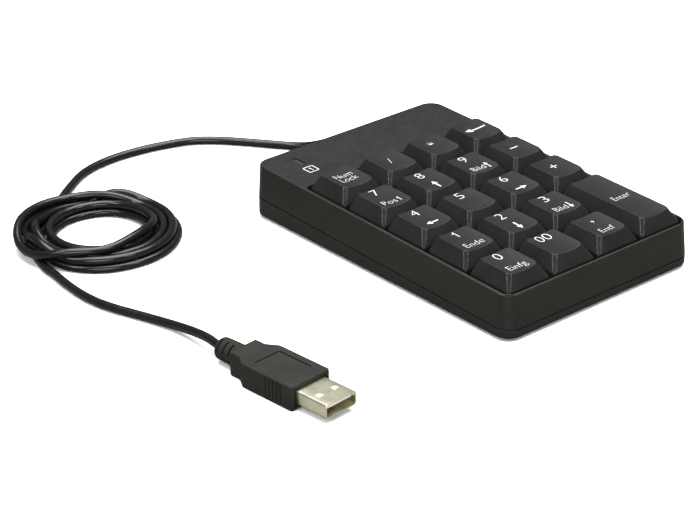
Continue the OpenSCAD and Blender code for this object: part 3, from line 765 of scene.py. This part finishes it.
def one(shape, x, y, high, stroke):
    """The figure one, which the typeface draws as a bare stem."""
    stem = x + 0.25 * stroke
    flag = x - 0.22 * high
    strip(shape, [(x, y), (x + stroke, y), (x + stroke, y + high), (stem, y + high), (x, y + 0.88 * high)])
    strip(shape, [
        (flag, y + 0.72 * high), (flag, y + 0.61 * high), (x, y + 0.75 * high), (x, y + 0.88 * high)])


def strip(shape, points):
    shape.add([(x, y, 0) for x, y in points], [list(range(len(points)))])


def arrow(shape, x, y, length, turn, head=2.0, wide=2.1, shaft=0.62):
    """Arrow centred on x, y, pointing along turn degrees."""
    c, s = math.cos(math.radians(turn)), math.sin(math.radians(turn))
    h, neck = length / 2, length / 2 - head
    shaft_points = [(-h, -shaft / 2), (neck, -shaft / 2), (neck, shaft / 2), (-h, shaft / 2)]
    for part in (shaft_points, [(neck, -wide / 2), (h, 0), (neck, wide / 2)]):
        strip(shape, [(x + a * c - b * s, y + a * s + b * c) for a, b in part])


def bar_print(shape, x, y, w, h):
    left, right, low, high = x - w / 2, x + w / 2, y - h / 2, y + h / 2
    strip(shape, [(left, low), (right, low), (right, high), (left, high)])


def key_print(key):
    """White print on a key's top, by place from the middle of its top face."""
    shape, name = Shape(), key[0]
    if name == "1":
        one(shape, -0.3, 2.4, 3.7, 0.36)
    elif name.isdigit():
        word(shape, name, -0.2 if name == "00" else -0.35, 2.4, 5.5 if name == "00" else 2.5, 3.7)
    for turn, keys in ((180, "4"), (0, "6"), (90, "8"), (-90, "2")):
        if name == keys:
            arrow(shape, 0.05, -3.75 if turn in (0, 180) else -3.35, 4.7, turn)
    if name == "num_lock":
        word(shape, "Num", -0.1, 0.2, 6.7, 2.6)
        word(shape, "Lock", -0.1, -2.9, 6.5, 2.6)
    elif name == "divide":
        word(shape, "/", -0.15, -1.6, 1.4, 3.4)
    elif name == "multiply":
        word(shape, "*", -0.3, -1.2, 2.3, 3.6)
    elif name == "backspace":
        arrow(shape, -0.15, 0.35, 9.0, 180, 3.0, 2.6, 0.65)
    elif name == "minus":
        bar_print(shape, 0, 0.5, 3.3, 0.5)
    elif name == "plus":
        bar_print(shape, -0.1, 0.7, 2.7, 0.4)
        bar_print(shape, -0.1, 1.48, 0.4, 1.15)
        bar_print(shape, -0.1, -0.08, 0.4, 1.15)
    elif name == "enter":
        word(shape, "Enter", 0.5, -1.8, 7.1, 2.6)
    elif name == "decimal":
        word(shape, ",", 0.2, 2.2, 0.9, 4.2)
        word(shape, "Entf", 0.15, -5.1, 5.7, 2.5)
    for mine, text, width, x in (("7", "Pos", 5.5, -1.1), ("1", "Ende", 7.3, 0.1), ("0", "Einfg", 7.3, -0.1)):
        if name == mine:
            word(shape, text, x, -4.95, width, 2.55)
    if name == "7":
        one(shape, 2.9, -4.95, 2.55, 0.27)
    for mine, turn in (("9", 90), ("3", -90)):
        if name == mine:
            word(shape, "Bild", -0.85, -4.95, 5.4, 2.6)
            arrow(shape, 3.15, -3.6, 4.1, turn, 1.5, 1.45, 0.36)
    return shape


def drape(name, shape, matrix, height, step=0.5):
    """Cuts a flat print into narrow strips and lays it on the surface below, a hair proud of it."""
    obj = make(name, shape, None, tidy=False)
    bm = bmesh.new()
    bm.from_mesh(obj.data)
    bmesh.ops.scale(bm, vec=(1 / MM,) * 3, verts=bm.verts)
    for x in np.arange(-6, 6.01, step):
        every = bm.verts[:] + bm.edges[:] + bm.faces[:]
        bmesh.ops.bisect_plane(bm, geom=every, plane_co=(x, 0, 0), plane_no=(1, 0, 0), dist=1e-6)
    bm.normal_update()
    bmesh.ops.reverse_faces(bm, faces=[f for f in bm.faces if f.normal.z < 0])
    for v in bm.verts:
        v.co.z = height(v.co.x) + 0.016
    bm.to_mesh(obj.data)
    bm.free()
    obj.data.transform(Matrix.Scale(MM, 4) @ matrix)
    soften(obj.data)
    return obj


def dome_shape():
    """Silicone dome with its plunger, thick at the foot and thin in the skirt."""
    return Shape().lathe([
        (0.01, DOME_H - 2), (1.0, DOME_H - 2), (1.1, DOME_H - 1.9), (1.1, DOME_H - 1.2), (2, DOME_H - 1.2),
        (3.2, 0.6), (3.5, 0.02), (4.5, 0.02), (4.6, 0.12), (4.6, 0.6), (4.5, 0.7), (4.0, 0.82), (3.3, 1.9),
        (2.55, DOME_H - 0.9), (2.4, DOME_H - 0.15), (2.2, DOME_H - 0.02), (0.01, DOME_H - 0.02)], n=36)


for key in KEYS:
    body = "key_" + key[0]
    here = DECK @ Matrix.Translation((*key_mid(key), 0))
    cap = make("cap_" + key[0], key_shape(key), here, 40)
    place(fair(cap), KEYMAT, body, "key_plastic", "key_" + key[0])
    prints = key_print(key)
    if prints.points:
        legend = drape("legend_" + key[0], prints, here @ Matrix.Translation((0, TOP_BACK, 0)), dish)
        place(legend, PRINT, body, "white_plastic")
    spring = make("spring_" + key[0], dome_shape(), here @ Matrix.Translation((0, 0, SHEET_TOP)), 40)
    place(spring, SILICONE, "case", "silicone", "dome_" + key[0])
    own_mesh(spring)

# Sign by the light: a figure one in a rounded frame
icon = Shape()
outer, hole = outline(-2.1, 2.1, -2.15, 2.15, 0.7, 6), outline(-1.72, 1.72, -1.77, 1.77, 0.4, 6)
n = len(outer)
frame_faces = [[j, (j + 1) % n, n + (j + 1) % n, n + j] for j in range(n)]
icon.add([(x, y, 0) for x, y in outer + hole], frame_faces)
one(icon, -0.05, -1.15, 2.3, 0.3)
icon_at = DECK @ Matrix.Translation((-28.2, 107.3, 0))
place(drape("icon", icon, icon_at, lambda x: 0), PRINT, "case", "white_plastic")

# ---- Strain relief ----

AXIS = DECK @ Matrix.Translation((EXIT_X, 0, -UPPER_H)) @ Matrix.Rotation(-math.pi / 2, 4, "X")
CORD_R, FLANGE_R, NECK_R = 1.42, 4.2, 3
flange = CASE_L - WALL - 2.2
behind = CASE_L + 0.1


def taper(y):
    """Radius of the strain relief outside the case."""
    return 3.6 - 0.13 * (y - CASE_L - 0.1)


profile = [
    (CORD_R, flange), (FLANGE_R - 0.1, flange), (FLANGE_R, flange + 0.1), (FLANGE_R, flange + 1.3),
    (FLANGE_R - 0.1, flange + 1.4), (NECK_R, flange + 1.4), (NECK_R, behind),
    (3.45, behind), (taper(CASE_L + 0.35), CASE_L + 0.35)]
for i in range(3):
    a = CASE_L + 1.9 + 2.6 * i
    b = a + 1
    profile += [
        (taper(a) - 0.05, a - 0.02), (taper(a) - 0.2, a + 0.08), (2.05, a + 0.12), (2.05, a + 0.88),
        (taper(a) - 0.2, a + 0.92), (taper(b) - 0.05, b + 0.02), (taper(a + 1.2), a + 1.2)]
profile += [(2.35, CASE_L + 9.85), (2.15, CASE_L + 10.1), (CORD_R, CASE_L + 10.1)]
rings = [[(r * math.cos(a), r * math.sin(a), z) for a in circle(40)] for r, z in profile]
relief = make("strain_relief", Shape().loft(rings, closed=True), AXIS, 35)
place(relief, PLUGMAT, "case", "soft_black", "cable_grommet")

# ---- Plug ----

half, mid, neck = PLUG_W / 2, PLUG_H / 2, NECK_W / 2
SHELL_BACK, SLEEVE_BACK = PLUG_FRONT - 7, -18.3
GRIPS, GRIP_PITCH = 5, 1.55
RELIEF_SLOTS, SLOT_PITCH = 3, 2.5


def station(x, w, drop, r):
    """Section of the moulding at x: its half width, how far its top and bottom draw in, and its corners."""
    return [(x, a, mid + b) for a, b in outline(-w, w, drop - mid, mid - drop, r, 6, 2)]


stations = [station(*s) for s in (
    (PLUG_FRONT, half - 0.75, 0.5, 0.35), (PLUG_FRONT - 0.08, half - 0.4, 0.24, 0.45),
    (PLUG_FRONT - 0.35, half - 0.12, 0.05, 0.5), (PLUG_FRONT - 0.9, half, 0, 0.5),
    (PLUG_FRONT - 1.3, half, 0, 0.5), (PLUG_SHOULDER + 0.5, half, 0, 0.5),
    (PLUG_SHOULDER, half - 0.06, 0, 0.5), (PLUG_SHOULDER - 0.4, half - 0.27, 0, 0.5),
    (PLUG_SHOULDER - 1.9, half - 1.2, 0, 0.5), (NECK_FRONT + 0.8, neck + 0.38, 0, 0.5),
    (NECK_FRONT, neck + 0.08, 0, 0.5), (NECK_FRONT - 0.6, neck, 0.02, 0.5),
    (NECK_BACK + 0.4, neck, 0.04, 0.5), (NECK_BACK + 0.1, neck - 0.1, 0.12, 0.48),
    (NECK_BACK, neck - 0.35, 0.35, 0.4))]
overmould = make("plug_body", Shape().loft(stations), PLUG, 35)
pocket = Shape()
pocket.box(SHELL_BACK, PLUG_FRONT + 1, -SHELL_W / 2, SHELL_W / 2, mid - SHELL_H / 2, mid + SHELL_H / 2)
cut(overmould, pocket, PLUG)
# The recess round the shell, the grips on both sides and the grooves round the panel on top
wide, tall = SHELL_W / 2 + 0.5, SHELL_H / 2 + 0.5
tools = Shape().box(PLUG_FRONT - 0.5, PLUG_FRONT + 1, -wide, wide, mid - tall, mid + tall)
for i in range(GRIPS):
    for side in (-1, 1):
        x = PLUG_FRONT - 4.6 - GRIP_PITCH * i
        tools.box(*around((x, side * half), 0.36, 0.42), 0.9, PLUG_H - 0.7, 0.12)
tools.box(-30.8, -30.2, -4.8, 4.8, PLUG_H - 0.6, PLUG_H + 1)
tools.box(-30.3, -17, 4.5, 5.1, PLUG_H - 0.6, PLUG_H + 1)
cut(overmould, tools, PLUG)
collar_profile = (
    (NECK_BACK + 0.3, 3.8), (RELIEF_BACK + 1.0, 3.58), (RELIEF_BACK + 0.5, 3.5),
    (RELIEF_BACK + 0.15, 3.28), (RELIEF_BACK, 2.9))
ribbed = Shape().loft([
    [(x, r * math.cos(a), RELIEF_MID + r * math.sin(a)) for a in circle(48)] for x, r in collar_profile])
collar = make("plug_collar", ribbed, PLUG, 35)
slots = Shape()
for i in range(RELIEF_SLOTS):
    x = NECK_BACK - 2.7 - SLOT_PITCH * i
    for turn in (45, 135, 225, 315):
        c, s = math.cos(math.radians(turn)), math.sin(math.radians(turn))
        square = ((-2, 2.1), (2, 2.1), (2, 5), (-2, 5))
        slots.loft([
            [(x + e, a * c - b * s, RELIEF_MID + a * s + b * c) for a, b in square] for e in (-0.37, 0.37)])
cut(collar, slots, PLUG)
place(fair(overmould), PLUGMAT, "case", "plug_plastic", "plug_overmould")
place(collar, PLUGMAT, "case", "plug_plastic")

tube = []
for x, off, r in (
        (SLEEVE_BACK, 0, 0.75), (-0.08, 0, 0.75), (0, 0.08, 0.68), (0, 0.22, 0.55), (-0.08, SHELL_T, 0.45),
        (SLEEVE_BACK, SHELL_T, 0.45)):
    w, h = SHELL_W / 2 - off, SHELL_H / 2 - off
    tube.append([(x, a, mid + b) for a, b in outline(-w, w, -h, h, r, 6, 2)])
shell = make("plug_sleeve", Shape().loft(tube, closed=True), PLUG, 40)
# Two square holes that go right through, and two open-sided spring marks on top
holes = Shape()
mark_low = mid + SHELL_H / 2 - 0.1
for y in (-3.05, 3.05):
    holes.box(-6.6, -4.9, y - 0.95, y + 0.95, -1, PLUG_H + 1, 0.12)
for x, turn in ((-11.2, 1), (-3.9, -1)):
    holes.box(x - 0.05, x + 0.05, -0.55, 0.55, mark_low, PLUG_H + 1)
    for y in (-0.5, 0.5):
        holes.box(*around((x + 0.35 * turn, y), 0.35, 0.05), mark_low, PLUG_H + 1)
cut(shell, holes, PLUG)
place(shell, NICKEL, "case", "plug_metal", "plug_shell")
tongue_side, tongue_top = SHELL_W / 2 - SHELL_T - 0.15, mid + SHELL_H / 2 - SHELL_T - 0.15
tongue = Shape().box(
    PLUG_FRONT - 5.8, -1.5, -tongue_side, tongue_side, tongue_top - 1.84, tongue_top, 0.1)
tongue = place(make("plug_insert", tongue, PLUG), WHITE, "case", "white_plastic", "plug_tongue")

# ---- Floor, light and air ----

FAR = 3000
corners = [(-FAR, -FAR, 0), (FAR, -FAR, 0), (FAR, FAR, 0), (-FAR, FAR, 0)]
floor = make("floor", Shape().add(corners, [[0, 1, 2, 3]]), tidy=False)
# White to the camera and dim to bounced light, so that the pale floor doesn't fill the plastic's shadows
n = Nodes("floor_paper")
n.set(Base_Color=n.mix(n.noise(40, 2), (0.93, 0.93, 0.93), (0.95, 0.95, 0.95)), Roughness=0.9)
n.shader.inputs["Specular IOR Level"].default_value = 0.1
dim = n.new("ShaderNodeBsdfDiffuse")
dim.inputs["Color"].default_value = (0.19, 0.188, 0.172, 1)
both = n.new("ShaderNodeMixShader")
n.link(n.new("ShaderNodeLightPath").outputs["Is Camera Ray"], both.inputs["Fac"])
n.link(dim.outputs[0], both.inputs[1])
n.link(n.shader.outputs[0], both.inputs[2])
n.link(both.outputs[0], n.tree.nodes["Material Output"].inputs["Surface"])
floor.data.materials.append(n.mat)


def light(name, azimuth, elevation, distance, wide, high, watts):
    """Softbox that faces the keypad; azimuth 0 is in front of it, +90 on its right."""
    data = bpy.data.lights.new(name, "AREA")
    data.shape, data.size, data.size_y, data.energy = "RECTANGLE", wide, high, watts
    obj = bpy.data.objects.new(name, data)
    a, e = math.radians(azimuth), math.radians(elevation)
    at = Vector((math.sin(a) * math.cos(e), -math.cos(a) * math.cos(e), math.sin(e))) * distance
    obj.location = at
    obj.rotation_euler = at.to_track_quat("Z", "Y").to_euler()
    bpy.context.scene.collection.objects.link(obj)


light("overhead", 110, 84, 1.4, 1.5, 1.5, 60)
light("left_strip", -92, 42, 1.0, 0.07, 0.5, 3.4)
light("front_strip", 12, 42, 1.0, 0.07, 0.5, 2.3)
light("fill", -42, 16, 1.3, 0.9, 0.5, 10)
world = bpy.data.worlds.new("studio")
world.use_nodes = True
world.node_tree.nodes["Background"].inputs["Color"].default_value = (1, 1, 1, 1)
world.node_tree.nodes["Background"].inputs["Strength"].default_value = 0.16
bpy.context.scene.world = world
bpy.context.scene.view_settings.view_transform = "Standard"

bpy.context.view_layer.update()
